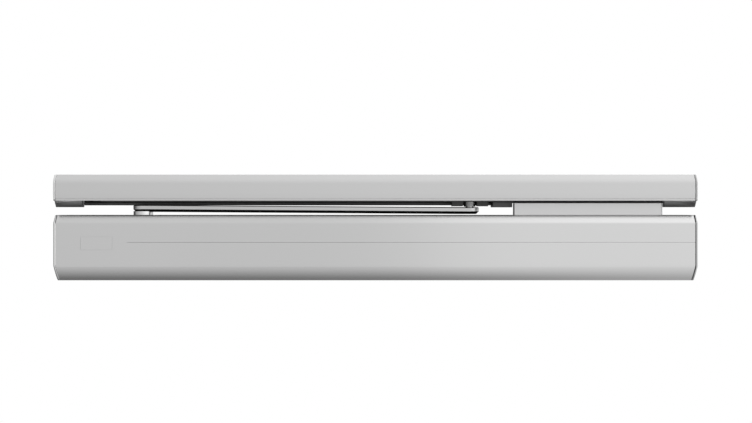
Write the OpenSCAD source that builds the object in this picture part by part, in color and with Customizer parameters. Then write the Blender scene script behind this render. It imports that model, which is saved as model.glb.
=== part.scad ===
// Slide-rail door closer: a covered cam-action closer body with a lock keeper on top,
// a flat lever arm, and a guide rail with an electric lock.
// X runs along the door towards the lock edge, Y points into the mounting surface, Z is up.
// The origin is the centre of the mounting plate's four fixing holes, on the plate's back face.
// The position shown is the door closed.

/* [Closer body] */
// Length of the closer body and of the rail
total_l = 604; // [600:1:660]
// Height of the closer body
body_h = 62; // [61:1:75]
// Depth of the body and the rail from the mounting surface
depth = 50; // [49:1:60]
// Wall of the aluminium covers
cover_wall = 1.5; // [1:0.1:2]
// Height of the sloped upper front edge
top_bevel_h = 7.1; // [4:0.1:9]
// Depth of the sloped upper front edge
top_bevel_d = 5.8; // [3:0.1:8]
// Radius of the rounded lower front edge
low_round_r = 4; // [2:0.5:6]
// Angle of the curved underside from vertical, next to the front edge
low_start_a = 37; // [32:1:40]
// Angle of the curved underside from vertical, at its lowest line
low_end_a = 50; // [46:1:52]
// Height of the lower front edge above the body's underside
low_front_h = 15.7; // [13:0.1:20]
// Thickness of the body's end caps
cap_t = 2.5; // [2:0.1:4]
// Thickness of the mounting plate
plate_t = 3; // [2.5:0.1:4]

/* [Hydraulic housing] */
// Length of the housing
housing_l = 274; // [268:1:276]
// Height of the housing
housing_h = 44; // [43:1:48]
// Depth of the housing
housing_d = 38; // [37:0.5:40]
// Diameter of the piston bore
bore_d = 32; // [30:0.5:33]
// Distance from the housing's hinge-side end to the spindle
spindle_off = 68.4; // [66:0.1:72]
// Diameter of the spindle
spindle_d = 14; // [12:0.5:15]
// Piston travel over the whole opening angle
cam_lift = 8.2; // [6:0.1:8.5]
// Distance from the spindle axis to the roller axis at the cam's valley
cam_valley = 14; // [13.5:0.1:14.5]
// Diameter of the cam rollers
roller_d = 12; // [10:0.5:12.5]
// Wire thickness of the closing spring
spring_wire = 5; // [3:0.5:5.5]
// Coils of the closing spring
spring_turns = 9; // [6:1:10]

/* [Arm] */
// Distance from the spindle to the sliding shoe's pin
arm_c = 314.2; // [300:0.1:320]
// Thickness of the arm
arm_t = 6.5; // [5:0.1:7]
// Radius of the arm's spindle end
arm_r_spindle = 9.35; // [9:0.05:10]
// Radius of the arm's shoe end
arm_r_shoe = 8.9; // [8:0.05:9.2]
// Gap between the closer body and the arm at the spindle
arm_gap = 2.9; // [2.6:0.1:5]
// Drop of the arm from its spindle end to its shoe end
arm_drop = 2; // [0:0.1:2.2]
// Diameter of the shoe's pin
pin_d = 8; // [6:0.5:8.5]

/* [Rail] */
// Gap between the closer body and the rail cover
rail_gap = 13.5; // [13:0.1:20]
// Height of the rail cover
rail_h = 24.5; // [24:0.1:30]
// Outer width of the shoe's track
track_w = 22; // [21:0.5:24]
// Width of the slot in the track's underside
slot_w = 12.4; // [12.2:0.1:13]
// Length of the sliding shoe
shoe_l = 34.6; // [28:0.1:36]

/* [Lock] */
// Length of the keeper block on the closer body
keeper_l = 139.8; // [120:0.1:150]
// Height of the keeper block
keeper_h = 11; // [9:0.1:11.6]
// Thickness of the keeper block, front to back
keeper_t = 11.5; // [11:0.1:12]
// Distance from the spindle to the keeper block
keeper_off = 354.6; // [345:0.1:365]
// Diameter of the lock bolts
bolt_d = 6; // [4:0.5:6.5]
// Travel of the lock bolts
bolt_travel = 8; // [5:0.5:8]

/* [Fixings] */
// Spacing of the plate's and the rail's fixing holes along X
fix_x = 540; // [500:1:550]
// Spacing of the plate's fixing holes along Z
fix_z = 36; // [30:1:38]
// Diameter of the plate's fixing holes
fix_d = 6.5; // [5:0.1:7]
// Spacing of the rail's fixing holes along Z
rail_fix_z = 12; // [10:0.5:13]
// Diameter of the rail's fixing holes
rail_fix_d = 5.5; // [4:0.1:6]
// Diameter of the cable inlet
inlet_d = 6; // [4:0.5:7]

/* [Hidden] */
$fn = 64;

// running clearance on the radius of shafts and pins, and gap between sliding surfaces
run_gap = 0.03;
piston_gap = 0.05;
slide_gap = 0.4;
// overlap that lets a cut pass cleanly through a face
cut = 1;

// closer body outline and levels
half_l = total_l / 2;
body_top = body_h / 2;
front_y = -depth;
cover_in = body_top - cover_wall;
cover_back = -0.5;

// spindle and housing placement
axis_y = -plate_t - housing_d / 2;
housing_x0 = -half_l + 10;
housing_x1 = housing_x0 + housing_l;
spindle_x = housing_x0 + spindle_off;
housing_front = -plate_t - housing_d;
bore_r = bore_d / 2;
piston_r = bore_r - piston_gap;

// bearings, seal and caps along the spindle
bearing_r = spindle_d / 2 + 4;
bearing_z0 = bore_r + 0.6;
bearing_h = 5.4;
seal_z0 = bearing_z0 + bearing_h + 0.4;
seal_h = 2;
boss_top = cover_in - 2.5;
boss_r = bearing_r + 4.5;
cap_plug_z0 = seal_z0 + seal_h + 0.2;
bearing_cap_t = 1.4;
bearing_cap_r = bearing_r + 3;
spindle_bottom = -boss_top + 4;

// heart cam: the roller centre moves out in proportion to the turn
cam_half_h = 6;
cam_rate = cam_lift / 180;
roller_r = roller_d / 2;
cam_clear = 0.1;
chamber_r = cam_valley + cam_lift - roller_r + 0.6;
roller_half_h = 5.8;
fork_gap = 6.3;
roller_pin_d = 5;
roller_pin_half = 12;
fork_nose = 4.5;
fork_l = 7.5;
piston_head = 16;
spring_head = 20;
roller_x_spring = spindle_x + cam_valley;
roller_x_damping = spindle_x - cam_valley - cam_lift;

// end plugs and springs
plug_l = 12;
damping_plug_x1 = housing_x0 + plug_l;
spring_plug_x0 = housing_x1 - plug_l - 3;
damping_head_x0 = roller_x_damping - fork_l - piston_head;
spring_head_x1 = roller_x_spring + fork_l + spring_head;
return_pocket_r = 11.5;
return_pocket_l = 6;
nut_l = 8;
nut_travel = 10;
nut_x0 = spring_plug_x0 - 24 - nut_l;
power_d = 8;
thrust_r = 7;
thrust_t = 3;

// adjusting valves in the hinge-side end of the housing
valve_d = 6;
valve_l = 24;
valve_dy = housing_d / 2 - 4.5;
valve_dz = housing_h / 2 - 5;

// housing screws
screw_d = 4;
screw_head_d = 6.8;
screw_head_l = 4;
screw_x = [housing_x0 + 33, housing_x1 - 22];
screw_z = housing_h / 2 - 3.7;

// arm
arm_z0 = body_top + arm_gap;
arm_top = arm_z0 + arm_t;
shoe_end_z0 = arm_z0 - arm_drop;
shoe_end_top = shoe_end_z0 + arm_t;
pin_x = spindle_x + arm_c;
arm_flat = 12;
arm_low_chamfer = 2.6;
arm_top_chamfer = 0.8;
// the arm is thinner where it sits on the collar
arm_seat = 0.9;
arm_seat_z = arm_z0 + arm_seat;
collar_r = arm_r_spindle - 0.15;

// rail levels
rail_z0 = body_top + rail_gap;
rail_z1 = rail_z0 + rail_h;
rail_in_top = rail_z1 - cover_wall;
base_t = 3;
rear_wall_z = rail_z0 - 4.2;
rear_wall_y = -12;
lip_z = rail_z0 - 0.9;
lip_t = 2.4;
track_x0 = -half_l + 40;
track_wall = 2.2;
track_top = rail_z0 + 13.5;
flange_t = 2.5;
skirt_z = rail_z0 - 6.1;
skirt_y = front_y + 3.8;
skirt_slope = 5.1;
skirt_back_y = front_y + 14;
skirt_l = 25.5;
rail_body_x = half_l - cap_t;

// sliding shoe and end stop
shoe_x0 = pin_x - shoe_l / 2;
shoe_x1 = pin_x + shoe_l / 2;
shoe_z0 = shoe_end_top + 0.9;
bush_r = 5.7;
glide_half = track_w / 2 - track_wall - slide_gap;
glide_z0 = lip_z + lip_t + slide_gap;
glide_z1 = track_top - track_wall - slide_gap;
neck_half = slot_w / 2 - slide_gap - 0.2;
stop_gap = 4;
stop_x0 = shoe_x1 + stop_gap;
stop_x1 = keeper_off + spindle_x - 0.5;
stop_z0 = rail_z0 - 6.2;
track_x1 = stop_x1 + 2;
bumper_t = 2;
cap_screw_z = rail_z0 + 12;

// keeper on the closer body
keeper_x0 = spindle_x + keeper_off;
keeper_x1 = keeper_x0 + keeper_l;
keeper_y0 = front_y + 6;
keeper_y1 = keeper_y0 + keeper_t;
keeper_mid_y = (keeper_y0 + keeper_y1) / 2;
keeper_top = body_top + keeper_h;
keeper_chamfer = 2;
keeper_screw_x = [keeper_x0 + 17.5, keeper_x1 - 17.5];
bolt_x = [keeper_x0 + 45.5, keeper_x0 + 94.5];
sleeve_r = bolt_d / 2 + 1.5;
sleeve_z0 = body_top + 2;

// lock in the rail
case_x0 = keeper_x0 + 19.5;
case_x1 = case_x0 + 112;
case_y0 = front_y + 7;
case_y1 = -10;
case_z0 = rail_z0 + 1;
case_z1 = rail_z1 - 5;
case_wall = 1.5;
case_floor = 3;
bolt_z0 = case_z0 - 0.6;
slider_y0 = keeper_mid_y + bolt_d / 2 + 1.7;
slider_t = 3;
follower_d = 2.5;
follower_z = case_z0 + 14;
slot_gap = 0.3;
slider_x0 = bolt_x[0] - bolt_travel - 4;
slider_x1 = bolt_x[1] + 7;
plunger_d = 6;
plunger_z = case_z0 + 9;
plunger_y = slider_y0 + slider_t / 2;
coil_x0 = slider_x1 + bolt_travel + 3;
coil_x1 = case_x1 - case_wall - 1;
coil_r = plunger_z - case_z0 - case_floor - 0.2;
inlet_x = (stop_x1 + case_x0) / 2;
inlet_z = rail_z0 + 10.5;
grommet_r = inlet_d / 2 + 2;
rail_fix_cz = rail_z0 + 10;

// --- outlines and helpers -------------------------------------------------------------

// an extrusion along X of an outline drawn in (Y, Z)
module along_x(x0, x1) {
    translate([x0, 0, 0]) rotate([90, 0, 90]) linear_extrude(x1 - x0) children();
}

// an extrusion along Y of an outline drawn in (X, Z)
module along_y(y0, y1) {
    translate([0, y1, 0]) rotate([90, 0, 0]) linear_extrude(y1 - y0) children();
}

module box(x, y, z) {
    translate([x[0], y[0], z[0]]) cube([x[1] - x[0], y[1] - y[0], z[1] - z[0]]);
}

module rod_x(x0, x1, r, y = axis_y, z = 0) {
    translate([x0, y, z]) rotate([0, 90, 0]) cylinder(h = x1 - x0, r = r);
}

module rod_y(y0, y1, r, x, z) {
    translate([x, y1, z]) rotate([90, 0, 0]) cylinder(h = y1 - y0, r = r);
}

module rod_z(z0, z1, r, x = spindle_x, y = axis_y) {
    translate([x, y, z0]) cylinder(h = z1 - z0, r = r);
}

module ring_z(z0, z1, r, inner, x = spindle_x, y = axis_y) {
    difference() {
        rod_z(z0, z1, r, x, y);
        rod_z(z0 - cut, z1 + cut, inner, x, y);
    }
}

module ring_x(x0, x1, r, inner, y = axis_y, z = 0) {
    difference() {
        rod_x(x0, x1, r, y, z);
        rod_x(x0 - cut, x1 + cut, inner, y, z);
    }
}

// unit normal on the left of the edge from a to b
function edge_normal(a, b) = [a[1] - b[1], b[0] - a[0]] / norm(b - a);

// a convex anticlockwise outline moved inwards by t, with square corners
function inset(pts, t) = [
    for (i = [0:len(pts) - 1])
        let (
            n = len(pts),
            before = edge_normal(pts[(i + n - 1) % n], pts[i]),
            after = edge_normal(pts[i], pts[(i + 1) % n])
        )
        pts[i] + t * (before + after) / (1 + before * after)
];

// points of a round of radius r at the corner p between its neighbours a and b
function round_corner(a, p, b, r, steps = 6) =
    let (
        u = (a - p) / norm(a - p),
        v = (b - p) / norm(b - p),
        half = acos(u * v) / 2,
        centre = p + (u + v) / norm(u + v) * r / sin(half),
        first = p + u * r / tan(half) - centre,
        last = p + v * r / tan(half) - centre,
        sweep = 180 - 2 * half
    )
    [for (i = [0:steps])
        centre + (first * sin(sweep * (1 - i / steps)) + last * sin(sweep * i / steps)) / sin(sweep)];

// closer body outline in (Y, Z), anticlockwise seen along -X, open depth to back; the sharp one
// leaves out the small rounds, so that it can be moved inwards further than their radius
low_front_z = -body_top + low_front_h;
low_corner = [front_y, low_front_z - low_round_r * tan(low_start_a / 2)];
low_curve_y = front_y + low_round_r * (1 - cos(low_start_a));
low_curve_z = low_front_z - low_round_r * sin(low_start_a);
low_curve_r = (low_curve_z + body_top) / (sin(low_end_a) - sin(low_start_a));
low_curve_steps = 6;
low_curve = [
    for (i = [0:low_curve_steps])
        let (a = low_start_a + (low_end_a - low_start_a) * i / low_curve_steps)
        [low_curve_y + low_curve_r * (cos(low_start_a) - cos(a)),
            low_curve_z - low_curve_r * (sin(a) - sin(low_start_a))]
];
low_round_steps = 5;
low_round = [
    for (i = [0:low_round_steps - 1])
        let (a = low_start_a * i / low_round_steps)
        [front_y + low_round_r * (1 - cos(a)), low_front_z - low_round_r * sin(a)]
];
bevel_top = [front_y + top_bevel_d, body_top];
bevel_front = [front_y, body_top - top_bevel_h];
top_edge_r = 2;
front_edge_r = 3;
function body_outline(back, sharp = false) = concat(
    [[back, body_top]],
    sharp ? [bevel_top, bevel_front, low_corner] : concat(
        round_corner([0, body_top], bevel_top, bevel_front, top_edge_r),
        round_corner(bevel_top, bevel_front, low_corner, front_edge_r),
        low_round
    ),
    low_curve,
    [[back, -body_top]]
);

// rail outline in (Y, Z): a round and a slope above, a shallow crown below
upper_round_r = 8;
upper_slope_a = 38;
upper_round_z = rail_z1 - 8.6;
rail_edge_r = 1.5;
crown_h = 7.2;
crown_r = 26;
crown_z = rail_z0 + crown_h;
crown_a = asin(crown_h / crown_r);
arc_steps = 5;
upper_arc = [
    for (i = [0:arc_steps])
        let (a = upper_slope_a * (1 - i / arc_steps))
        [front_y + upper_round_r * (1 - cos(a)), upper_round_z + upper_round_r * sin(a)]
];
crown_arc = [
    for (i = [0:arc_steps])
        let (a = crown_a * i / arc_steps)
        [front_y + crown_r * (1 - cos(a)), crown_z - crown_r * sin(a)]
];
slope_top = [upper_arc[0][0] + (rail_z1 - upper_arc[0][1]) * tan(upper_slope_a), rail_z1];
rail_low_y = crown_arc[arc_steps][0];
function rail_outline(back, sharp = false, low = rail_z0) = concat(
    [[back, rail_z1]],
    sharp ? [slope_top] : round_corner([0, rail_z1], slope_top, upper_arc[0], rail_edge_r),
    upper_arc,
    crown_arc,
    low < rail_z0 ? [[rail_low_y + (rail_z0 - low) * tan(crown_a), low]] : [],
    [[back, low]]
);

// --- closer body ----------------------------------------------------------------------

module mounting_plate() {
    plate_x = half_l - 4;
    plate_z = cover_in - 2.5;
    ear_t = 3;
    color("silver") difference() {
        union() {
            box([-plate_x, plate_x], [-plate_t, 0], [-plate_z, plate_z]);
            for (side = [-1, 1])
                translate([side * (plate_x - ear_t / 2), 0, 0])
                    box([-ear_t / 2, ear_t / 2], [-34, -plate_t], [-12, 12]);
        }
        for (x = [-fix_x / 2, fix_x / 2], z = [-fix_z / 2, fix_z / 2])
            rod_y(-plate_t - cut, cut, fix_d / 2, x, z);
        for (x = screw_x, z = [-screw_z, screw_z])
            rod_y(-plate_t - cut, cut, screw_d / 2, x, z);
        rod_x(-half_l, half_l, screw_d / 2);
    }
}

module closer_housing() {
    color("gainsboro") difference() {
        union() {
            box([housing_x0, housing_x1], [housing_front, -plate_t],
                [-housing_h / 2, housing_h / 2]);
            rod_z(-boss_top, boss_top, boss_r);
        }
        rod_x(housing_x0 - cut, housing_x1 + cut, bore_r);
        rod_z(-boss_top - cut, boss_top + cut, bearing_r);
        rod_z(-cam_half_h - 1.6, cam_half_h + 1.6, chamber_r);
        for (place = valve_places)
            rod_x(housing_x0 - cut, housing_x0 + valve_l + 0.5, valve_d / 2 + run_gap,
                place[0], place[1]);
        for (x = screw_x, z = [-screw_z, screw_z]) {
            rod_y(housing_front - cut, 0, screw_d / 2, x, z);
            rod_y(housing_front - cut, housing_front + screw_head_l, screw_head_d / 2, x, z);
        }
    }
}

// O-ring groove and ring shared by both end plugs
seal_wire = 1.2;
seal_ring_r = bore_r - seal_wire;

module plug_seal(x) {
    color("black") translate([x, axis_y, 0]) rotate([0, 90, 0])
        rotate_extrude() translate([seal_ring_r, 0]) circle(r = seal_wire, $fn = 24);
}

module plug_groove(x) {
    ring_x(x - seal_wire, x + seal_wire, bore_r + cut, seal_ring_r - seal_wire);
}

module damping_plug() {
    color("dimgray") difference() {
        rod_x(housing_x0, damping_plug_x1, bore_r);
        plug_groove(damping_plug_x1 - 4);
        rod_x(housing_x0 - cut, housing_x0 + 5, 5);
    }
}

module spring_plug() {
    color("dimgray") difference() {
        rod_x(spring_plug_x0, housing_x1, bore_r);
        plug_groove(spring_plug_x0 + 4);
        rod_x(spring_plug_x0 - cut, housing_x1 + cut, power_d / 2 + run_gap);
    }
}

module plug_seals() {
    plug_seal(damping_plug_x1 - 4);
    plug_seal(spring_plug_x0 + 4);
}

// a coil spring along X as one closed tube, its coils touching neither end
module coil_spring(x0, x1, r, wire, turns, rings_per_turn = 18) {
    sides = 8;
    rings = turns * rings_per_turn;
    run = x1 - x0 - wire;
    points = [
        for (i = [0:rings], k = [0:sides - 1])
            let (
                a = 360 * i / rings_per_turn,
                b = 360 * k / sides,
                reach = r + wire / 2 * cos(b)
            )
            [x0 + wire / 2 + run * i / rings + wire / 2 * sin(b),
                axis_y + reach * cos(a), reach * sin(a)]
    ];
    skin = [
        for (i = [0:rings - 1], k = [0:sides - 1])
            let (a = i * sides + k, b = i * sides + (k + 1) % sides)
            [a, b, b + sides, a + sides]
    ];
    first = [for (k = [0:sides - 1]) sides - 1 - k];
    last = [for (k = [0:sides - 1]) rings * sides + k];
    polyhedron(points, concat(skin, [first, last]), convexity = 6);
}

module return_spring() {
    color("silver") coil_spring(damping_plug_x1 + 0.3, damping_head_x0 + return_pocket_l - 0.3,
        9, 1.6, 4, 16);
}

module main_spring() {
    color("silver") coil_spring(spring_head_x1 + 0.3, nut_x0 - 0.3,
        bore_r - spring_wire / 2 - 1, spring_wire, spring_turns);
}

module upper_bearing() {
    color("lightgray")
        ring_z(bearing_z0, bearing_z0 + bearing_h, bearing_r, spindle_d / 2 + run_gap);
}

module lower_bearing() {
    color("lightgray")
        ring_z(-bearing_z0 - bearing_h, -bearing_z0, bearing_r, spindle_d / 2 + run_gap);
}

module shaft_seal() {
    color("black") ring_z(seal_z0, seal_z0 + seal_h, bearing_r, spindle_d / 2 + run_gap);
}

module upper_bearing_cap() {
    color("dimgray") difference() {
        union() {
            rod_z(cap_plug_z0, boss_top, bearing_r);
            rod_z(boss_top, boss_top + bearing_cap_t, bearing_cap_r);
        }
        rod_z(cap_plug_z0 - cut, boss_top + bearing_cap_t + cut, spindle_d / 2 + 0.5);
    }
}

module lower_bearing_cap() {
    color("dimgray") union() {
        rod_z(-boss_top, -boss_top + 3.4, bearing_r);
        rod_z(-boss_top - bearing_cap_t, -boss_top, bearing_cap_r);
    }
}

// fine decorative grooves along the front of both covers, and the blank badge's pocket
groove_z = 5.3;
groove_w = 0.8;
groove_d = 0.35;
groove_x0 = spindle_x - 9;
rail_groove_z = rail_z0 + 1.7;
rail_groove_y = front_y + crown_r - sqrt(crown_r ^ 2 - (crown_z - rail_groove_z) ^ 2);
badge_x = [-half_l + 25.5, -half_l + 55.5];
badge_z = [-1.8, 10.8];
badge_t = 0.4;
badge_gap = 0.25;

module groove(x0, x1, y, z) {
    along_x(x0, x1) polygon([
        [y - cut, z + groove_w / 2], [y - cut, z - groove_w / 2],
        [y, z - groove_w / 2], [y + groove_d, z], [y, z + groove_w / 2]
    ]);
}

module front_cover() {
    slot_r = collar_r + 2.5;
    color("lightgray") difference() {
        along_x(-rail_body_x, rail_body_x) difference() {
            polygon(body_outline(cover_back));
            polygon(inset(body_outline(10, sharp = true), cover_wall));
        }
        groove(groove_x0, half_l, front_y, groove_z);
        box(badge_x, [front_y - cut, front_y + badge_t], badge_z);
        rod_z(body_top - cover_wall - cut, body_top + cut, slot_r);
        box([spindle_x - slot_r, spindle_x + slot_r], [axis_y, cut],
            [body_top - cover_wall - cut, body_top + cut]);
        for (x = keeper_screw_x)
            rod_z(body_top - cover_wall - cut, body_top + cut, screw_d / 2 + 0.2,
                x, keeper_mid_y);
    }
}

module badge_plate() {
    color("lightgray") box([badge_x[0] + badge_gap, badge_x[1] - badge_gap],
        [front_y, front_y + badge_t], [badge_z[0] + badge_gap, badge_z[1] - badge_gap]);
}

// end cap of the body: side -1 is the hinge end, 1 the lock end
module body_cap(side) {
    lip_in = cover_wall + 0.05;
    x_in = rail_body_x - 4;
    color("lightgray") mirror([side < 0 ? 1 : 0, 0, 0]) difference() {
        union() {
            along_x(rail_body_x, half_l) polygon(body_outline(0));
            along_x(x_in, rail_body_x) difference() {
                polygon(inset(body_outline(cover_back + lip_in, sharp = true), lip_in));
                polygon(inset(body_outline(10, sharp = true), lip_in + 1.5));
            }
        }
        rod_x(x_in, half_l + cut, screw_d / 2);
        rod_x(half_l - 1.5, half_l + cut, screw_head_d / 2);
        if (side > 0) groove(rail_body_x - cut, half_l + cut, front_y, groove_z);
    }
}

module body_cap_left() body_cap(-1);

module body_cap_right() body_cap(1);

// screw that holds an end cap to its ear
module cap_screw(z) {
    difference() {
        union() {
            rod_x(half_l - 9, half_l - 1.5, screw_d / 2, axis_y, z);
            rod_x(half_l - 1.5, half_l - 0.2, screw_head_d / 2, axis_y, z);
        }
        translate([half_l - 0.6, axis_y, z]) cube([1.2, 0.9, screw_head_d + cut], center = true);
    }
}

module body_cap_screws() {
    for (side = [0, 1])
        color("silver") mirror([side, 0, 0]) cap_screw(0);
}

// spring clips that hold the cover to the mounting plate
clip_x = [housing_x1 + 14, keeper_x0 - 27, half_l - 16];

module cover_clips() {
    clip_w = 10;
    arm_z = cover_in - 0.05;
    for (x = clip_x)
        color("gray") along_x(x - clip_w / 2, x + clip_w / 2) difference() {
            translate([-plate_t - 14, -arm_z]) square([14, 2 * arm_z]);
            translate([-plate_t - 14 - cut, -arm_z + 1.2])
                square([14 + cut - 1.5, 2 * arm_z - 2.4]);
        }
}

module housing_screws() {
    for (x = screw_x, z = [-screw_z, screw_z])
        color("dimgray") difference() {
            union() {
                rod_y(housing_front + screw_head_l, -0.5, screw_d / 2, x, z);
                rod_y(housing_front + 0.3, housing_front + screw_head_l, screw_head_d / 2, x, z);
            }
            rod_y(housing_front, housing_front + 2.5, 1.5, x, z, $fn = 6);
        }
}

// --- adjusters ------------------------------------------------------------------------

valve_places = [
    [axis_y - valve_dy, valve_dz],
    [axis_y - valve_dy, -valve_dz],
    [axis_y + valve_dy, valve_dz]
];

module valve(place) {
    color("goldenrod") difference() {
        union() {
            rod_x(housing_x0 + 0.5, housing_x0 + valve_l - 5, valve_d / 2, place[0], place[1]);
            translate([housing_x0 + valve_l - 5, place[0], place[1]]) rotate([0, 90, 0])
                cylinder(h = 4, r1 = 2, r2 = 0.6);
        }
        translate([housing_x0 + 0.4, place[0], place[1]])
            cube([2.4, 0.9, valve_d + cut], center = true);
    }
}

module closing_valve() valve(valve_places[0]);

module latching_valve() valve(valve_places[1]);

module backcheck_valve() valve(valve_places[2]);

module power_screw() {
    color("silver") difference() {
        union() {
            rod_x(nut_x0 - nut_travel - 3, housing_x1 + 2, power_d / 2);
            rod_x(spring_plug_x0 - thrust_t - 0.3, spring_plug_x0 - 0.3, thrust_r);
        }
        rod_x(housing_x1 - 3, housing_x1 + 3, 2.4, $fn = 6);
    }
}

module power_nut() {
    color("gray") ring_x(nut_x0, nut_x0 + nut_l, piston_r, power_d / 2 + run_gap);
}

// --- spindle, cam and arm -------------------------------------------------------------

// square that drives the arm, across flats, and the arm screw's hole
square_w = 0.64 * spindle_d;
arm_screw_r = 2.5;
arm_screw_l = 12;

module spindle() {
    color("silver") difference() {
        union() {
            rod_z(spindle_bottom, arm_seat_z, spindle_d / 2);
            translate([spindle_x - square_w / 2, axis_y - square_w / 2, arm_seat_z])
                cube([square_w, square_w, arm_t - arm_seat - 2.2]);
        }
        rod_z(arm_top - 2 - arm_screw_l, arm_top, arm_screw_r);
    }
}

// cam flank: the roller's path moved inwards by the roller's radius
function flank(a) =
    let (
        rho = cam_valley + cam_rate * a,
        slope = cam_rate * 180 / PI,
        out = [slope * sin(a) + rho * cos(a), rho * sin(a) - slope * cos(a)]
    )
    rho * [cos(a), sin(a)] - (roller_r + cam_clear) * out / norm(out);

cam_steps = 36;
flank_points = [
    for (i = [0:cam_steps])
        let (p = flank(180 * i / cam_steps))
        if (p[1] > 0.05) p
];
valley_a = atan(cam_rate * 180 / PI / cam_valley);
valley_points = [
    for (i = [-2:2])
        let (a = valley_a * i / 3)
        [cam_valley - (roller_r + cam_clear) * cos(a), (roller_r + cam_clear) * sin(a)]
];
lower_flank = [for (i = [len(flank_points) - 1:-1:0]) [flank_points[i][0], -flank_points[i][1]]];

module heart_cam() {
    color("gray") difference() {
        translate([spindle_x, axis_y, -cam_half_h]) linear_extrude(2 * cam_half_h)
            polygon(concat(flank_points, lower_flank, valley_points));
        rod_z(-cam_half_h - cut, cam_half_h + cut, spindle_d / 2);
    }
}

module spindle_collar() {
    color("silver") ring_z(boss_top + bearing_cap_t + 0.4, arm_seat_z, collar_r,
        spindle_d / 2);
}

// side view of the arm in (X, Z): level at both ends, sloped between them
arm_side = [
    [spindle_x - 20, arm_seat_z], [spindle_x + 10, arm_seat_z],
    [spindle_x + 10, arm_z0], [spindle_x + arm_flat, arm_z0],
    [pin_x - arm_flat, shoe_end_z0], [pin_x + 20, shoe_end_z0],
    [pin_x + 20, shoe_end_top], [pin_x - arm_flat, shoe_end_top],
    [spindle_x + arm_flat, arm_top], [spindle_x - 20, arm_top]
];
// angle and tangent points of the straight edges that join the two ends
arm_edge_a = asin((arm_r_spindle - arm_r_shoe) / arm_c);

module arm_plan() {
    s = sin(arm_edge_a);
    c = cos(arm_edge_a);
    translate([spindle_x, axis_y]) {
        circle(r = arm_r_spindle);
        translate([arm_c, 0]) circle(r = arm_r_shoe);
        polygon([
            [arm_r_spindle * s, -arm_r_spindle * c],
            [arm_c + arm_r_shoe * s, -arm_r_shoe * c],
            [arm_c + arm_r_shoe * s, arm_r_shoe * c],
            [arm_r_spindle * s, arm_r_spindle * c]
        ]);
    }
}

// what the chamfers take off one long edge: a square bar turned by 45 degrees
module edge_bar(z0, z1, size) {
    slope = atan((z1 - z0) / (arm_c - 2 * arm_flat));
    for (side = [-1, 1])
        translate([spindle_x, axis_y + side * arm_r_spindle, z0])
            rotate([0, 0, -side * arm_edge_a])
            translate([arm_flat, 0, 0]) rotate([0, -slope, 0])
            rotate([45, 0, 0])
            translate([-arm_flat, -size / sqrt(2), -size / sqrt(2)])
            cube([arm_c, size * sqrt(2), size * sqrt(2)]);
}

// chamfer round one end of the arm: dir -1 is the spindle end, 1 the shoe end
module end_chamfer(x, r, z, size, up, dir) {
    intersection() {
        translate([x, axis_y, z]) mirror([0, 0, up ? 0 : 1]) rotate_extrude()
            polygon([[r, -size], [r + 5, -size], [r + 5, 5], [r - size - 5, 5]]);
        translate([x + dir * 10, axis_y, z]) cube([20, 40, 20], center = true);
    }
}

module lever_arm() {
    color("lightgray") difference() {
        intersection() {
            translate([0, 0, shoe_end_z0 - cut])
                linear_extrude(arm_top - shoe_end_z0 + 2 * cut) arm_plan();
            along_y(axis_y - 20, axis_y + 20) polygon(arm_side);
        }
        edge_bar(arm_z0, shoe_end_z0, arm_low_chamfer);
        edge_bar(arm_top, shoe_end_top, arm_top_chamfer);
        end_chamfer(spindle_x, arm_r_spindle, arm_seat_z, arm_low_chamfer - arm_seat, false, -1);
        end_chamfer(spindle_x, arm_r_spindle, arm_top, arm_top_chamfer, true, -1);
        end_chamfer(pin_x, arm_r_shoe, shoe_end_z0, arm_low_chamfer, false, 1);
        end_chamfer(pin_x, arm_r_shoe, shoe_end_top, arm_top_chamfer, true, 1);
        translate([spindle_x - square_w / 2, axis_y - square_w / 2, arm_z0 - cut])
            cube([square_w, square_w, arm_t + cut]);
        rod_z(arm_top - 2, arm_top + cut, 6.5);
        rod_z(shoe_end_z0 - cut, shoe_end_top + cut, pin_d / 2, pin_x);
    }
}

module arm_screw() {
    color("silver") difference() {
        union() {
            rod_z(arm_top - 2, arm_top - 0.1, 6.4);
            rod_z(arm_top - 2 - arm_screw_l, arm_top - 2, arm_screw_r);
        }
        rod_z(arm_top - 1.5, arm_top + cut, 2, $fn = 6);
    }
}

// headed pin riveted in the arm, with a groove for its circlip
module shoe_pin() {
    top = glide_z0 + 3;
    color("silver") difference() {
        rod_z(shoe_end_z0, top, pin_d / 2, pin_x);
        ring_z(top - 1.6, top - 0.8, pin_d / 2 + cut, pin_d / 2 - 0.8, pin_x);
    }
}

module pin_circlip() {
    top = glide_z0 + 3;
    color("dimgray") difference() {
        ring_z(top - 1.6, top - 0.8, pin_d / 2 + 1.2, pin_d / 2 - 0.8, pin_x);
        box([pin_x, pin_x + 8], [axis_y - 2, axis_y + 2], [top - 3, top]);
    }
}

// --- pistons and rollers --------------------------------------------------------------

// fork cheeks above and below the cam, cut from the piston's own round bar
module fork(x0, x1) {
    for (side = [-1, 1])
        intersection() {
            rod_x(x0, x1, piston_r);
            translate([0, 0, side * (fork_gap + bore_r / 2)])
                box([x0, x1], [axis_y - bore_r, axis_y + bore_r], [-bore_r / 2, bore_r / 2]);
        }
}

module roller_pin(x) {
    color("silver") rod_z(-roller_pin_half, roller_pin_half, roller_pin_d / 2, x);
}

module roller(x) {
    color("gray") ring_z(-roller_half_h, roller_half_h, roller_r,
        roller_pin_d / 2 + run_gap, x);
}

module spring_piston() {
    x = roller_x_spring;
    color("lightgray") difference() {
        union() {
            rod_x(x + fork_l, spring_head_x1, piston_r);
            fork(x - fork_nose, x + fork_l + cut);
        }
        rod_z(-roller_pin_half, roller_pin_half, roller_pin_d / 2, x);
        rod_x(x, spring_head_x1 + cut, 2);
        rod_x(spring_head_x1 - 9, spring_head_x1 + cut, 4);
    }
}

module spring_roller_pin() roller_pin(roller_x_spring);

module spring_roller() roller(roller_x_spring);

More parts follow.
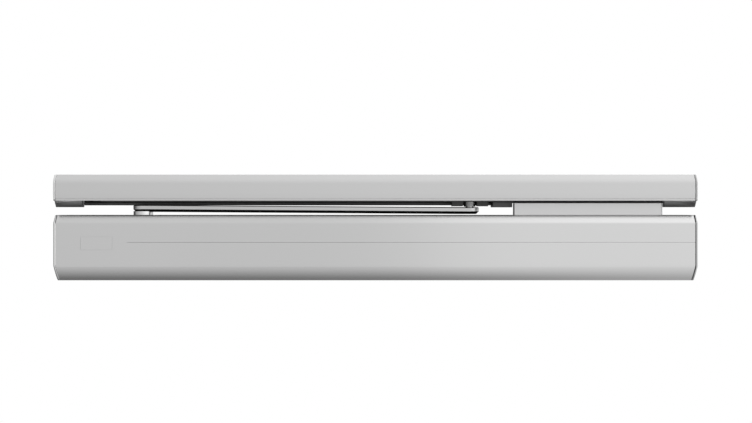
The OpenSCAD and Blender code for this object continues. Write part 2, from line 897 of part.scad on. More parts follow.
// ball and seat ring of the one-way valve in the spring piston
module check_valve() {
    color("silver") translate([spring_head_x1 - 6, axis_y, 0]) sphere(r = 3);
    color("silver") ring_x(spring_head_x1 - 2.5, spring_head_x1 - 0.5, 4, 1.5);
}

module damping_piston() {
    x = roller_x_damping;
    color("lightgray") difference() {
        union() {
            rod_x(damping_head_x0, x - fork_l, piston_r);
            fork(x - fork_l - cut, x + fork_nose);
        }
        rod_z(-roller_pin_half, roller_pin_half, roller_pin_d / 2, x);
        rod_x(damping_head_x0 - cut, damping_head_x0 + return_pocket_l, return_pocket_r);
    }
}

module damping_roller_pin() roller_pin(roller_x_damping);

module damping_roller() roller(roller_x_damping);

// --- keeper on the closer body --------------------------------------------------------

module keeper_block() {
    color("lightgray") difference() {
        keeper_blank();
        for (x = keeper_screw_x) {
            rod_z(body_top - cut, keeper_top, screw_d / 2 + 0.2, x, keeper_mid_y);
            rod_z(keeper_top - 3, keeper_top + cut, screw_head_d / 2 + 0.2, x, keeper_mid_y);
        }
        for (x = bolt_x) rod_z(sleeve_z0, keeper_top + cut, sleeve_r, x, keeper_mid_y);
    }
}

// keeper block without its holes, with its front corner at the lock edge chamfered
module keeper_blank() {
    translate([0, 0, body_top]) linear_extrude(keeper_h) polygon([
        [keeper_x0, keeper_y0], [keeper_x1 - keeper_chamfer, keeper_y0],
        [keeper_x1, keeper_y0 + keeper_chamfer], [keeper_x1, keeper_y1],
        [keeper_x0, keeper_y1]
    ]);
}

module keeper_bracket() {
    top = cover_in - 0.05;
    x0 = keeper_x0 + 6;
    x1 = keeper_x1 - 6;
    color("gray") difference() {
        union() {
            box([x0, x1], [keeper_y0 + 2.4, -plate_t], [top - 3, top]);
            box([x0, x1], [-plate_t - 3, -plate_t], [-8, top - 3]);
            for (x = [x0, x1 - 3])
                along_x(x, x + 3) polygon([[-plate_t - 3, top - 3],
                    [keeper_y0 + 6, top - 3], [-plate_t - 3, 0]]);
        }
        for (x = keeper_screw_x)
            rod_z(top - 3 - cut, top + cut, screw_d / 2, x, keeper_mid_y);
    }
}

module keeper_screws() {
    for (x = keeper_screw_x)
        color("silver") difference() {
            union() {
                rod_z(cover_in - 3, keeper_top - 3, screw_d / 2, x, keeper_mid_y);
                rod_z(keeper_top - 3, keeper_top - 0.3, screw_head_d / 2, x, keeper_mid_y);
            }
            rod_z(keeper_top - 2, keeper_top + cut, 1.5, x, keeper_mid_y, $fn = 6);
        }
}

module keeper_sleeves() {
    for (x = bolt_x)
        color("silver") ring_z(sleeve_z0, keeper_top - 0.2, sleeve_r, bolt_d / 2 + 0.5,
            x, keeper_mid_y);
}

// --- sliding shoe ---------------------------------------------------------------------

// two pads on the glide leave the bush open between them
module slide_shoe() {
    pad_gap = bush_r + 1;
    color("dimgray") difference() {
        union() {
            box([shoe_x0, shoe_x1], [axis_y - glide_half, axis_y + glide_half],
                [glide_z0, glide_z1]);
            for (x = [[shoe_x0, pin_x - pad_gap], [pin_x + pad_gap, shoe_x1]])
                box(x, [axis_y - neck_half, axis_y + neck_half], [shoe_z0, glide_z0]);
        }
        rod_z(shoe_z0 - cut, glide_z0 + 3.6, bush_r, pin_x);
    }
}

module shoe_bush() {
    color("silver") ring_z(shoe_z0 - 0.4, glide_z0 + 1, bush_r, pin_d / 2 + run_gap, pin_x);
}

// --- rail -----------------------------------------------------------------------------

// ears that take the end cap screws
module rail_ears(x_wall) {
    for (side = [-1, 1])
        translate([side * (x_wall - 2), 0, 0])
            box([-1.5, 1.5], [axis_y - 6, -base_t], [cap_screw_z - 6, cap_screw_z + 6]);
}

module rail_base() {
    x_wall = rail_body_x - 0.5;
    low_x0 = -half_l + 12;
    color("dimgray") difference() {
        union() {
            box([-x_wall, x_wall], [-base_t, 0], [lip_z, rail_in_top - 0.2]);
            box([low_x0, stop_x1 - 1], [-base_t, 0], [rear_wall_z, lip_z]);
            box([low_x0, x_wall], [-base_t, 0], [keeper_top + 0.4, lip_z]);
            box([low_x0, stop_x1 - 1], [rear_wall_y, -base_t], [rear_wall_z, rear_wall_z + 2.5]);
            box([track_x0, track_x1], [axis_y - track_w / 2, -base_t],
                [track_top, track_top + flange_t]);
            for (x = [case_x0 + 8, case_x1 - 18])
                box([x, x + 10], [case_y1, -base_t], [case_z0 + 4, case_z1 - 4]);
            rail_ears(x_wall);
        }
        for (x = [-fix_x / 2, fix_x / 2], z = [-rail_fix_z / 2, rail_fix_z / 2])
            rod_y(-base_t - cut, cut, rail_fix_d / 2, x, rail_fix_cz + z);
        rod_y(-base_t - cut, cut, grommet_r, inlet_x, inlet_z);
        rod_x(-half_l, half_l, screw_d / 2, axis_y, cap_screw_z);
    }
}

module rail_track() {
    color("silver") along_x(track_x0, track_x1) difference() {
        translate([axis_y - track_w / 2, lip_z]) square([track_w, track_top - lip_z]);
        translate([axis_y - track_w / 2 + track_wall, lip_z + lip_t])
            square([track_w - 2 * track_wall, track_top - track_wall - lip_z - lip_t]);
        translate([axis_y - slot_w / 2, lip_z - cut]) square([slot_w, lip_t + 2 * cut]);
    }
}

module rail_cover() {
    color("lightgray") difference() {
        along_x(-rail_body_x, rail_body_x) rail_cover_section();
        groove(-half_l, half_l, rail_groove_y, rail_groove_z);
    }
}

module rail_cover_section() {
    difference() {
        polygon(rail_outline(cover_back));
        polygon(inset(rail_outline(10, sharp = true), cover_wall));
        translate([skirt_y - 0.1, rail_z0 - cut]) square([depth, cover_wall + 2 * cut]);
    }
}

// end cap of the rail: side -1 is the hinge end, 1 the lock end; foot_x0 is where its foot starts
module rail_cap(side, foot_x0) {
    lip_in = cover_wall + 0.05;
    x_in = rail_body_x - 4;
    color("dimgray") mirror([side < 0 ? 1 : 0, 0, 0]) difference() {
        union() {
            along_x(rail_body_x, half_l) polygon(rail_outline(0));
            along_x(x_in, rail_body_x) difference() {
                polygon(inset(rail_outline(lip_in - base_t - 0.3, sharp = true), lip_in));
                polygon(inset(rail_outline(10, sharp = true, low = rail_z0 - 6), lip_in + 1.5));
            }
            along_x(foot_x0, half_l) polygon([
                [skirt_y, rail_z0 + 2.5], [skirt_y, rail_z0], [skirt_y + skirt_slope, skirt_z],
                [skirt_back_y, skirt_z], [skirt_back_y, rail_z0 + 2.5]
            ]);
        }
        rod_x(x_in, half_l + cut, screw_d / 2, axis_y, cap_screw_z);
        rod_x(half_l - 1.5, half_l + cut, screw_head_d / 2, axis_y, cap_screw_z);
    }
}

module rail_cap_left() rail_cap(-1, half_l - skirt_l);

module rail_cap_right() rail_cap(1, keeper_x1 + 1.7);

module rail_cap_screws() {
    for (side = [0, 1])
        color("silver") mirror([side, 0, 0]) cap_screw(cap_screw_z);
}

// block that ends the shoe's travel; its foot shows below the rail
module end_stop() {
    cavity = track_w / 2 - track_wall;
    neck = slot_w / 2 - 0.1;
    foot = 10;
    color("dimgray") union() {
        box([stop_x0, stop_x1], [axis_y - cavity, axis_y + cavity],
            [lip_z + lip_t, track_top - track_wall]);
        box([stop_x0, stop_x1], [axis_y - neck, axis_y + neck], [stop_z0, lip_z + lip_t]);
        box([stop_x0, stop_x1], [axis_y - foot, axis_y + foot], [stop_z0, lip_z - 0.05]);
    }
}

module stop_bumper() {
    color("black") box([stop_x0 - bumper_t, stop_x0], [axis_y - 7, axis_y + 7],
        [glide_z0, glide_z1 - 0.5]);
}

// --- electric lock in the rail --------------------------------------------------------

module lock_case() {
    color("gray") difference() {
        box([case_x0, case_x1], [case_y0, case_y1], [case_z0, case_z1]);
        box([case_x0 + case_wall, case_x1 - case_wall], [case_y0 - cut, case_y1 - case_wall],
            [case_z0 + case_floor, case_z1 - case_wall]);
        for (x = bolt_x)
            rod_z(case_z0 - cut, case_z0 + case_floor + cut, bolt_d / 2 + run_gap,
                x, keeper_mid_y);
    }
}

module lock_lid() {
    color("gray") box([case_x0, case_x1], [case_y0 - 1, case_y0], [case_z0, case_z1]);
}

module lock_coil() {
    color("peru") ring_x(coil_x0, coil_x1, coil_r, plunger_d / 2 + slide_gap,
        plunger_y, plunger_z);
}

module terminal_block() {
    x0 = case_x0 + case_wall + 1;
    y0 = case_y0 + 3;
    color("green") difference() {
        box([x0, x0 + 8], [y0, y0 + 27], [case_z0 + case_floor, case_z0 + 12]);
        for (i = [0:2])
            rod_z(case_z0 + 6, case_z0 + 13, 1.6, x0 + 4, y0 + 4.5 + 9 * i);
    }
}

module cable_grommet() {
    color("black") difference() {
        union() {
            rod_y(-base_t, 0, grommet_r, inlet_x, inlet_z);
            rod_y(-base_t - 1.5, -base_t, grommet_r + 1.5, inlet_x, inlet_z);
        }
        rod_y(-base_t - 1.5 - cut, cut, inlet_d / 2, inlet_x, inlet_z);
    }
}

// sliding bar: its slots at 45 degrees drive the bolts down as it moves towards the coil
module lock_slider() {
    half = follower_d / 2 + slot_gap;
    color("silver") union() {
        difference() {
            box([slider_x0, slider_x1], [slider_y0, slider_y0 + slider_t],
                [case_z0 + case_floor + slide_gap, case_z1 - case_wall - slide_gap]);
            for (x = bolt_x)
                along_y(slider_y0 - cut, slider_y0 + slider_t + cut)
                    translate([x, follower_z]) {
                        circle(r = half);
                        rotate(-135) translate([0, -half])
                            square([bolt_travel * sqrt(2), 2 * half]);
                        translate([-bolt_travel, -bolt_travel]) circle(r = half);
                    }
        }
        rod_x(slider_x1 - 0.01, coil_x0 + 6, plunger_d / 2, plunger_y, plunger_z);
    }
}

module lock_bolts() {
    for (x = bolt_x)
        color("silver") union() {
            rod_z(bolt_z0, follower_z + 2, bolt_d / 2, x, keeper_mid_y);
            rod_y(keeper_mid_y, slider_y0 + slider_t + 1, follower_d / 2, x, follower_z);
        }
}

mounting_plate();
closer_housing();
damping_plug();
spring_plug();
plug_seals();
return_spring();
main_spring();
upper_bearing();
lower_bearing();
shaft_seal();
upper_bearing_cap();
lower_bearing_cap();
front_cover();
body_cap_left();
body_cap_right();
cover_clips();
housing_screws();
body_cap_screws();
badge_plate();
keeper_block();
keeper_bracket();
keeper_screws();
keeper_sleeves();
power_screw();
power_nut();
closing_valve();
latching_valve();
backcheck_valve();
spindle();
heart_cam();
spindle_collar();
lever_arm();
arm_screw();
shoe_pin();
pin_circlip();
spring_piston();
spring_roller_pin();
spring_roller();
check_valve();
damping_piston();
damping_roller_pin();
damping_roller();
slide_shoe();
shoe_bush();
rail_base();
rail_track();
rail_cover();
rail_cap_left();
rail_cap_right();
rail_cap_screws();
end_stop();
stop_bumper();
lock_case();
lock_lid();
lock_coil();
terminal_block();
cable_grommet();
lock_slider();
lock_bolts();
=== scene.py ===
# %% [markdown]
# # A slide-rail door closer
# This lesson dresses a finished CAD model in Blender. Every part already stands in its place,
# so the work is light, camera, edges and surfaces.
# The frame is loaded first, and its box is kept.

# %% Load the frame
import math

import bpy
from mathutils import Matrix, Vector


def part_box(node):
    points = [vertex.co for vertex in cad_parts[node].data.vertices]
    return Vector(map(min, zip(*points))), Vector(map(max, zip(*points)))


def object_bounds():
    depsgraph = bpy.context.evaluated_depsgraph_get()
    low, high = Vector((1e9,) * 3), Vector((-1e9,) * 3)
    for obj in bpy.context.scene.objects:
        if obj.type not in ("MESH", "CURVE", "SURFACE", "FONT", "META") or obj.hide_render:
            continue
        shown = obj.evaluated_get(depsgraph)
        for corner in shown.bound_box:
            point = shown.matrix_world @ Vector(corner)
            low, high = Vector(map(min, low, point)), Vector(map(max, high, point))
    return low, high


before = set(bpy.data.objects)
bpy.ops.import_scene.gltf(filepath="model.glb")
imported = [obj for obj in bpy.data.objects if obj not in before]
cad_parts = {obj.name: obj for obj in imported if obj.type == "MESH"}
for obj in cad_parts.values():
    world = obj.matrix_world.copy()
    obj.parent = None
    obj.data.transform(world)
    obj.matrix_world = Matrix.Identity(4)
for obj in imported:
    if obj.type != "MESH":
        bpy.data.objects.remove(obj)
cad_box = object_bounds()
MM = 0.001

# %% [markdown]
# ## Camera
# A long, narrow product is photographed straight from the front, at the height of the gap between
# its two boxes. A 50 mm lens close by shows a little of how the ends fall back. The distance is
# measured from the front face, because that is the plane whose scale matters.

# %% Camera
EYE_HEIGHT = 34.3 * MM
EYE_SIDE = 0.5 * MM
CAMERA_DISTANCE = 0.978
front_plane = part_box("front_cover")[0].y

camera_data = bpy.data.cameras.new("camera")
camera_data.lens = 50
camera_data.sensor_width = 36
camera = bpy.data.objects.new("camera", camera_data)
camera.location = (EYE_SIDE, front_plane - CAMERA_DISTANCE, EYE_HEIGHT)
camera.rotation_euler = (math.pi / 2, 0, 0)
bpy.context.collection.objects.link(camera)
bpy.context.scene.camera = camera
print("camera stands", round(-camera.location.y, 3), "m in front of the door")

# %% [markdown]
# ## Shader maths
# Procedural finishes are sums. Wiring Math nodes by hand hides them, so one small class wraps an
# output socket and lets Python's operators add the nodes: `1 - mask` and `grain * 0.2 + 0.3` then
# read as what they are. Everything that isn't arithmetic goes through one method, `node`.


# %% Nodes as expressions
class Wire:
    """An output socket that can be added, taken away, multiplied and compared."""

    def __init__(self, tree, socket):
        self.tree = tree
        self.socket = socket

    def maths(self, operation, *values):
        return self.tree.node("ShaderNodeMath", {"operation": operation}, *values)

    def __add__(self, other):
        return self.maths("ADD", self, other)

    def __sub__(self, other):
        return self.maths("SUBTRACT", self, other)

    def __rsub__(self, other):
        return self.maths("SUBTRACT", other, self)

    def __mul__(self, other):
        return self.maths("MULTIPLY", self, other)

    __radd__ = __add__
    __rmul__ = __mul__

    def at_most(self, other):
        return self.maths("MINIMUM", self, other)

    def at_least(self, other):
        return self.maths("MAXIMUM", self, other)


class Tree:
    """A node tree, of a material or of the world."""

    def __init__(self, owner):
        owner.use_nodes = True
        self.nodes = owner.node_tree.nodes
        self.links = owner.node_tree.links
        self.nodes.clear()

    def node(self, kind, settings=None, *values, output=0, **named):
        """Makes a node, sets it up, fills its inputs in order or by name, returns one output."""
        made = self.nodes.new(kind)
        for key, value in (settings or {}).items():
            if key == "stops":
                self.set_stops(made.color_ramp, value)
            else:
                setattr(made, key, value)
        for index, value in enumerate(values):
            self.fill(made.inputs[index], value)
        for key, value in named.items():
            self.fill(made.inputs[key.replace("_", " ")], value)
        return Wire(self, made.outputs[output]) if len(made.outputs) else made

    def fill(self, socket, value):
        if isinstance(value, Wire):
            self.links.new(value.socket, socket)
        elif value is not None:
            socket.default_value = value

    def set_stops(self, ramp, stops):
        while len(ramp.elements) < len(stops):
            ramp.elements.new(0.5)
        for element, (place, grey) in zip(ramp.elements, stops):
            element.position = place
            element.color = (grey, grey, grey, 1)

    def ramp(self, value, *stops):
        """A smooth grey ramp: stops are (place, grey)."""
        return self.node("ShaderNodeValToRGB", {"stops": stops}, value)

    def mix(self, factor, first, second):
        """Mixes two colours."""
        made = self.nodes.new("ShaderNodeMix")
        made.data_type = "RGBA"
        self.fill(made.inputs[0], factor)
        self.fill(made.inputs[6], first)
        self.fill(made.inputs[7], second)
        return Wire(self, made.outputs[2])


print("shader helpers ready")

# %% [markdown]
# ## Light
# Satin metal shows its surroundings more than its own colour, so the surroundings are the real
# lighting. A photographer hangs large soft cards round the camera and leaves the room behind the
# object dark. A face that looks at the camera then shows the cards, and one that leans back by
# more than half a right angle shows the dark room, so each slope and round gets its own tone.
# One more card stands a little to the right and one hangs overhead at the right. All of them are
# written here as one smooth function of direction. The camera itself sees plain white.

# %% The room of soft cards
FRONT_CARD = 0.83
NEAR_RIGHT_CARD = 0.20
FAR_RIGHT_CARD = 0.30
OVERHEAD_CARD = 0.08
OVERHEAD_RIGHT_CARD = 0.26
LEFT_SHADE = 0.30
UP_LEAN = 1.15

world = bpy.data.worlds.new("studio")
bpy.context.scene.world = world
room = Tree(world)
axes = room.node("ShaderNodeSeparateXYZ", None, room.node("ShaderNodeTexCoord"))
across, depth, up = (Wire(room, output) for output in axes.socket.node.outputs)
overhead = up.at_least(0)
lean = up * UP_LEAN
facing = room.ramp((lean.at_least(0) - depth) * 0.5 + 0.5, (0.42, 0.0), (0.62, 1.0))
near_right = room.ramp(across * 2 + 0.5, (0.55, 0.0), (0.65, 1.0))
far_right = room.ramp(across, (0.30, 0.0), (0.80, 1.0))
left = room.ramp(across * -1, (0.30, 0.0), (1.00, 1.0))
overhead_right = room.ramp(across * 0.5 + 0.5, (0.48, 0.0), (0.62, 1.0))
bright = (
    near_right * NEAR_RIGHT_CARD
    + far_right * FAR_RIGHT_CARD
    + overhead * (overhead_right * OVERHEAD_RIGHT_CARD + OVERHEAD_CARD)
    - left * LEFT_SHADE
    + FRONT_CARD
)
dark = room.ramp(across * 0.5 + 0.5, (0.1, 0.10), (0.5, 0.26), (0.62, 0.52), (0.9, 0.85))
cards = dark + (bright - dark) * facing
lit = room.node("ShaderNodeBackground", None, cards, 1.0)
seen = room.node("ShaderNodeBackground", None, (1, 1, 1, 1), 1.0)
light_path = room.node("ShaderNodeLightPath")
both = room.node("ShaderNodeMixShader", None, light_path, lit, seen)
room.node("ShaderNodeOutputWorld", None, both)
bpy.context.scene.view_settings.view_transform = "Standard"
print("studio surroundings ready")

# %% [markdown]
# ## Floor
# The object hangs on a door, so nothing stands under it. A pale floor lies well below, only as
# large as the other views need, and takes no part in the reflections: the cards do that.

# %% Floor
FLOOR_DROP = 0.45
FLOOR_HALF = (1.6, 1.0)
FLOOR_FORWARD = 0.25
FLOOR_TONE = 0.86
floor_height = cad_box[0][2] - FLOOR_DROP
bpy.ops.mesh.primitive_plane_add(size=2, location=(0, -FLOOR_FORWARD, floor_height))
floor = bpy.context.object
floor.name = "studio_floor"
floor.scale = (*FLOOR_HALF, 1)
floor.visible_glossy = False
floor.visible_diffuse = False
floor_finish = bpy.data.materials.new("floor_paint")
paint = Tree(floor_finish)
paint_shader = paint.node("ShaderNodeBsdfDiffuse", None, (FLOOR_TONE, FLOOR_TONE, FLOOR_TONE, 1))
paint.node("ShaderNodeOutputMaterial", None, paint_shader)
floor.data.materials.append(floor_finish)
print("floor", FLOOR_DROP, "m below the closer")

# %% [markdown]
# ## A base for every finish
# Each finish starts from the same few lines: a principled shader whose fixed numbers are set on
# its own sockets, and object coordinates in metres, so that grain keeps its true size on every
# part. Variation then goes only into colour, roughness and bump.


# %% Finish base
class Finish(Tree):
    """A material with a principled shader and coordinates that ride with the part."""

    def __init__(self, name, **fixed):
        self.material = bpy.data.materials.new(name)
        super().__init__(self.material)
        self.shader = self.nodes.new("ShaderNodeBsdfPrincipled")
        output = self.nodes.new("ShaderNodeOutputMaterial")
        self.links.new(self.shader.outputs[0], output.inputs[0])
        for key, value in fixed.items():
            self.shader.inputs[key.replace("_", " ")].default_value = value
        coordinates = self.nodes.new("ShaderNodeTexCoord")
        self.place = Wire(self, coordinates.outputs["Object"])
        self.outward = Wire(self, coordinates.outputs["Normal"])

    def stretched(self, x, y, z):
        """The part's coordinates, scaled so that one unit is one grain."""
        return self.node("ShaderNodeMapping", None, Vector=self.place, Scale=(x, y, z))

    def noise(self, place, scale=1.0, detail=2.0, rough=0.5):
        return self.node(
            "ShaderNodeTexNoise", None, Vector=place, Scale=scale, Detail=detail, Roughness=rough
        )

    def put(self, **inputs):
        for key, value in inputs.items():
            self.fill(self.shader.inputs[key.replace("_", " ")], value)

    def bump(self, height, depth, strength=1.0):
        """Relief of that depth in metres."""
        normal = self.node(
            "ShaderNodeBump", None, Height=height, Distance=depth, Strength=strength
        )
        self.put(Normal=normal)


def upward(finish):
    """How far a surface looks up: 0 straight down, 0.5 level, 1 straight up."""
    outward = finish.node("ShaderNodeSeparateXYZ", None, finish.outward)
    return Wire(finish, outward.socket.node.outputs["Z"]) * 0.5 + 0.5


def grey(value, warm=0.0):
    """A near-neutral colour; warm above 0 leans to yellow."""
    return (value * (1 + warm), value, value * (1 - warm), 1)


def dress(material, *nodes):
    """Gives a finish to CAD nodes."""
    for node in nodes:
        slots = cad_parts[node].data.materials
        slots.clear()
        slots.append(material)


print("finish base ready")

# %% [markdown]
# ## Satin anodised aluminium
# The covers are extruded, so faint drawing lines run along their whole length, and anodising
# leaves a fine, even tooth over them. Long noise along X makes the lines, short noise the tooth.
# The body's cover is a little glossier than the rail's, which is why it shows the edge of the
# light card and the rail doesn't.


# %% Aluminium
def anodised(name, tone, gloss):
    finish = Finish(name, Metallic=1.0)
    lines = finish.noise(finish.stretched(3, 900, 900), detail=3)
    tooth = finish.noise(finish.place, 2600, detail=1)
    cloud = finish.noise(finish.place, 9, detail=2)
    finish.put(
        Base_Color=finish.mix(lines * 0.5 + cloud * 0.5, grey(tone * 0.985), grey(tone * 1.015)),
        Roughness=lines * 0.05 + tooth * 0.03 + (gloss - 0.04),
    )
    finish.bump(lines * 0.6 + tooth * 0.4, 0.004 * MM)
    return finish.material


cover_aluminium = anodised("cover_aluminium", 0.62, 0.18)
rail_aluminium = anodised("rail_aluminium", 0.665, 0.60)
dress(cover_aluminium, "front_cover", "badge_plate", "body_cap_left", "body_cap_right")
dress(rail_aluminium, "rail_cover", "keeper_block")
print("anodised aluminium on covers and keeper")

# %% [markdown]
# ## Dark parts behind the rail's edge
# The rail's base and track are anodised black. Only thin strips of them show, but they carry the
# deep line that parts the two boxes. The rail's end caps are grey like their cover, and their feet,
# which slope back under the cover, get painted shade: the colour turns dark wherever the surface
# looks downward, standing in for the shade that falls there. The slope of the surface tells the two
# apart.


# %% Dark aluminium and moulded caps
def dark_anodised(name):
    finish = Finish(name, Metallic=0.6)
    lines = finish.noise(finish.stretched(4, 700, 700), detail=2)
    finish.put(
        Base_Color=finish.mix(lines, grey(0.080), grey(0.110)),
        Roughness=lines * 0.1 + 0.36,
    )
    finish.bump(lines, 0.006 * MM)
    return finish.material


def moulded(name, tone, shine, warm=0.0):
    finish = Finish(name)
    sparks = finish.noise(finish.place, 1500, detail=2)
    flow = finish.noise(finish.place, 40, detail=3)
    finish.put(
        Base_Color=finish.mix(flow, grey(tone * 0.95, warm), grey(tone * 1.05, warm)),
        Roughness=sparks * 0.12 + shine,
    )
    finish.bump(sparks, 0.02 * MM)
    return finish.material


def cap_with_painted_shade(name, tone, foot_shade_tone, shine):
    finish = Finish(name, Metallic=0.9)
    grain = finish.noise(finish.place, 1200, detail=2)
    flow = finish.noise(finish.place, 30, detail=3)
    # Painted shade: faces that look downward, the caps' feet under the cover, take the dark foot
    # colour in place of the shade that falls there.
    foot_shade_mask = finish.ramp(upward(finish), (0.24, 1.0), (0.30, 0.0))
    face = finish.mix(flow, grey(tone * 0.98), grey(tone * 1.02))
    finish.put(
        Base_Color=finish.mix(foot_shade_mask, face, grey(foot_shade_tone)),
        Roughness=grain * 0.06 + (shine - 0.03),
    )
    finish.bump(grain, 0.006 * MM)
    return finish.material


black_aluminium = dark_anodised("black_aluminium")
cap_grey = cap_with_painted_shade("cap_grey", 0.66, 0.22, 0.54)
acetal = moulded("acetal", 0.045, 0.32)
dress(black_aluminium, "rail_base", "rail_track", "end_stop")
dress(cap_grey, "rail_cap_left", "rail_cap_right")
dress(acetal, "slide_shoe")
print("dark rail parts ready")

# %% [markdown]
# ## Steel
# The arm is ground flat, so its scratches run along it. Its underside and lower edges get painted
# shade: the colour turns near black wherever the surface looks downward. Turned parts have rings
# about their own axis instead. Polished parts have almost nothing, only a faint unevenness that
# keeps a highlight from looking drawn.


# %% Steels
def ground_steel(name):
    finish = Finish(name, Metallic=1.0)
    scratches = finish.noise(finish.stretched(8, 1500, 1500), detail=4, rough=0.7)
    # Painted shade: the mask below turns every face that looks downward near black, standing in for
    # the shade under the arm, and makes it rougher too.
    scale = finish.ramp(upward(finish), (0.30, 1.0), (0.36, 0.0))
    bright = finish.mix(scratches, grey(0.55), grey(0.64))
    finish.put(
        Base_Color=finish.mix(scale, bright, grey(0.035)),
        Roughness=scratches * 0.12 + scale * 0.15 + 0.24,
    )
    finish.bump(scratches, 0.006 * MM)
    return finish.material


def turned_steel(name, tone, shine, warm=0.0):
    finish = Finish(name, Metallic=1.0)
    rings = finish.noise(finish.stretched(2500, 60, 60), detail=2)
    stain = finish.noise(finish.place, 55, detail=3)
    finish.put(
        Base_Color=finish.mix(stain, grey(tone * 0.92, warm), grey(tone * 1.06, warm)),
        Roughness=rings * 0.1 + stain * 0.06 + shine,
    )
    finish.bump(rings, 0.006 * MM)
    return finish.material


def polished_steel(name):
    finish = Finish(name, Metallic=1.0)
    haze = finish.noise(finish.place, 260, detail=3)
    finish.put(
        Base_Color=finish.mix(haze, grey(0.70), grey(0.76)),
        Roughness=haze * 0.08 + 0.12,
    )
    return finish.material


arm_steel = ground_steel("arm_steel")
bright_steel = polished_steel("bright_steel")
machined_steel = turned_steel("machined_steel", 0.50, 0.26)
dark_steel = turned_steel("dark_steel", 0.10, 0.40)
bush_steel = turned_steel("bush_steel", 0.36, 0.34)
spring_steel = turned_steel("spring_steel", 0.26, 0.30)
brass = turned_steel("brass", 0.52, 0.24, warm=0.38)
dress(arm_steel, "lever_arm")
dress(bright_steel, "spindle_collar", "shoe_pin", "check_valve")
dress(bush_steel, "shoe_bush")
dress(spring_steel, "main_spring", "return_spring")
dress(
    machined_steel, "spindle", "heart_cam", "spring_piston", "damping_piston", "spring_roller",
    "damping_roller", "spring_roller_pin", "damping_roller_pin", "upper_bearing",
    "lower_bearing", "keeper_sleeves", "lock_slider", "lock_bolts", "power_nut",
    "power_screw", "arm_screw",
)
dress(
    dark_steel, "pin_circlip", "damping_plug", "spring_plug", "upper_bearing_cap",
    "lower_bearing_cap", "housing_screws", "cover_clips",
)
dress(brass, "closing_valve", "latching_valve", "backcheck_valve")
print("steels and brass ready")

# %% [markdown]
# ## Plated sheet, cast housing, rubber and the rest
# Zinc plate shows large soft crystals, a casting a pebbled skin, rubber a dull bloom.


# %% Remaining finishes
def zinc_plated(name):
    finish = Finish(name, Metallic=1.0)
    crystals = finish.node("ShaderNodeTexVoronoi", None, Vector=finish.place, Scale=90)
    drift = finish.noise(finish.place, 30, detail=3)
    finish.put(
        Base_Color=finish.mix(crystals * 0.6 + drift * 0.4, grey(0.50, -0.01), grey(0.66, -0.01)),
        Roughness=crystals * 0.15 + drift * 0.1 + 0.24,
    )
    finish.bump(drift, 0.02 * MM)
    return finish.material


def cast_aluminium(name):
    finish = Finish(name, Metallic=1.0)
    pebbles = finish.noise(finish.place, 700, detail=4, rough=0.6)
    flow = finish.noise(finish.place, 25, detail=3)
    finish.put(
        Base_Color=finish.mix(flow, grey(0.44), grey(0.56)),
        Roughness=pebbles * 0.2 + 0.38,
    )
    finish.bump(pebbles, 0.08 * MM)
    return finish.material


def soft_rubber(name):
    finish = Finish(name)
    bloom = finish.noise(finish.place, 120, detail=4)
    finish.put(
        Base_Color=finish.mix(bloom, grey(0.012), grey(0.03)),
        Roughness=bloom * 0.2 + 0.6,
    )
    finish.bump(bloom, 0.02 * MM)
    return finish.material


TURNS_PER_METRE = 2000
WAVE_SCALE_PER_TURN = 1 / 3.2


def copper_wire(name):
    finish = Finish(name, Metallic=1.0, Coat_Weight=0.6)
    drift = finish.noise(finish.place, 200, detail=2)
    turns = finish.node(
        "ShaderNodeTexWave", {"wave_type": "BANDS", "bands_direction": "X"},
        Vector=finish.place, Scale=TURNS_PER_METRE * WAVE_SCALE_PER_TURN, Distortion=0.0,
    )
    finish.put(
        Base_Color=finish.mix(
            turns * 0.7 + drift * 0.3, (0.30, 0.11, 0.05, 1), (0.66, 0.30, 0.15, 1)
        ),
        Roughness=drift * 0.1 + 0.25,
    )
    finish.bump(turns, 0.2 * MM)
    return finish.material


def green_plastic(name):
    finish = Finish(name)
    flow = finish.noise(finish.place, 60, detail=3)
    finish.put(
        Base_Color=finish.mix(flow, (0.05, 0.22, 0.10, 1), (0.07, 0.28, 0.13, 1)),
        Roughness=flow * 0.1 + 0.35,
    )
    finish.bump(flow, 0.03 * MM)
    return finish.material


plate_zinc = zinc_plated("plate_zinc")
housing_casting = cast_aluminium("housing_casting")
rubber = soft_rubber("rubber")
winding = copper_wire("winding")
terminal_plastic = green_plastic("terminal_plastic")
dress(
    plate_zinc, "mounting_plate", "keeper_bracket", "body_cap_screws", "rail_cap_screws",
    "keeper_screws", "lock_case", "lock_lid",
)
dress(housing_casting, "closer_housing")
dress(rubber, "plug_seals", "shaft_seal", "stop_bumper", "cable_grommet")
dress(terminal_plastic, "terminal_block")
dress(winding, "lock_coil")
print("all finishes ready")

# %% [markdown]
# ## Soft edges
# No real edge is sharp. CAD leaves them so, and a bevel modifier rounds them without touching
# the mesh itself. Faces arrive apart along each sharp edge and cut into triangles, so they are
# welded and the flats joined first. Weighted normals then keep the large faces flat while the
# bevels turn.


# %% Edges
SEAM = 0.01 * MM
FLAT_WITHIN = math.radians(0.5)
SHARP_ABOVE = math.radians(30)
SMALL_EDGE = 0.12


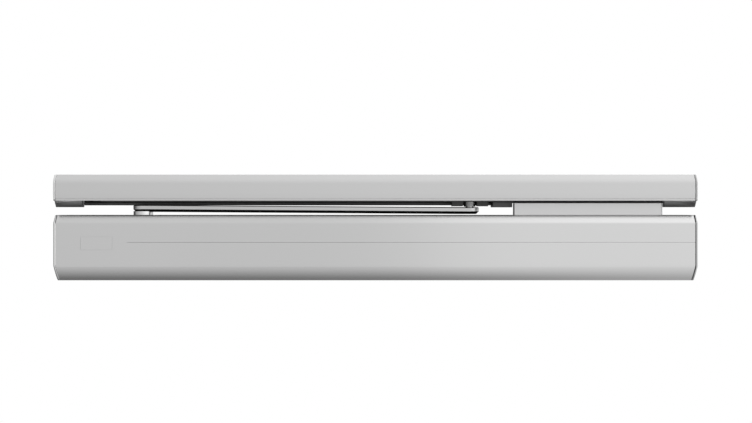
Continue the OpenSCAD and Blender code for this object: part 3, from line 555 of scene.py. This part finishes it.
def soften(node, width, segments=3):
    """Rounds a CAD node's sharp edges by that width in millimetres."""
    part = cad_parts[node]
    for polygon in part.data.polygons:
        polygon.use_smooth = True
    weld = part.modifiers.new("weld_seams", "WELD")
    weld.merge_threshold = SEAM
    join = part.modifiers.new("join_flats", "DECIMATE")
    join.decimate_type = "DISSOLVE"
    join.angle_limit = FLAT_WITHIN
    bevel = part.modifiers.new("soft_edges", "BEVEL")
    bevel.width = width * MM
    bevel.segments = segments
    bevel.limit_method = "ANGLE"
    bevel.angle_limit = SHARP_ABOVE
    bevel.harden_normals = True
    weigh = part.modifiers.new("flat_faces", "WEIGHTED_NORMAL")
    weigh.keep_sharp = True


EDGES = {
    "front_cover": 0.03, "rail_cover": 0.03, "keeper_block": 0.1, "lever_arm": 0.2,
    "slide_shoe": 0.5, "rail_track": 0.3, "rail_base": 0.3, "end_stop": 0.5,
    "mounting_plate": 0.3, "closer_housing": 0.6, "keeper_bracket": 0.3, "cover_clips": 0.2,
    "spindle_collar": 0.4, "shoe_bush": 0.3, "lock_case": 0.3, "lock_lid": 0.2,
    "lock_slider": 0.15, "lock_bolts": 0.3, "terminal_block": 0.3, "cable_grommet": 0.4,
}
RIMS = {
    "body_cap_left": 1.1, "body_cap_right": 1.1, "rail_cap_left": 0.4, "rail_cap_right": 0.4,
}
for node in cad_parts:
    if node not in RIMS:
        soften(node, EDGES.get(node, SMALL_EDGE), segments=3 if node in EDGES else 2)
print("edges softened on", len(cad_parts) - len(RIMS), "nodes")

# %% [markdown]
# ## Rims of the end caps
# An end cap is moulded with a generous round on its outer rim only; its inner edges fit the cover
# and stay crisp. The points of the outer face are put in a group, all but those round the screw's
# hole, and the bevel keeps to that group.


# %% Rims
ON_FACE = 0.05 * MM
HOLE_REACH = 5 * MM


def group_rim(part, screws):
    """Groups the points of the cap's outer face, and returns how many there are."""
    low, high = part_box(screws)
    screw_y, screw_z = (low.y + high.y) / 2, (low.z + high.z) / 2
    places = [part.matrix_world @ vertex.co for vertex in part.data.vertices]
    outer = max(abs(place.x) for place in places)
    rim = [
        index
        for index, place in enumerate(places)
        if abs(place.x) > outer - ON_FACE
        and math.hypot(place.y - screw_y, place.z - screw_z) > HOLE_REACH
    ]
    part.vertex_groups.new(name="rim").add(rim, 1.0, "REPLACE")
    return len(rim)


for node, width in RIMS.items():
    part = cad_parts[node]
    rim_points = group_rim(part, node.split("_")[0] + "_cap_screws")
    soften(node, width)
    part.modifiers["soft_edges"].limit_method = "VGROUP"
    part.modifiers["soft_edges"].vertex_group = "rim"
    print(node, "rim points:", rim_points)
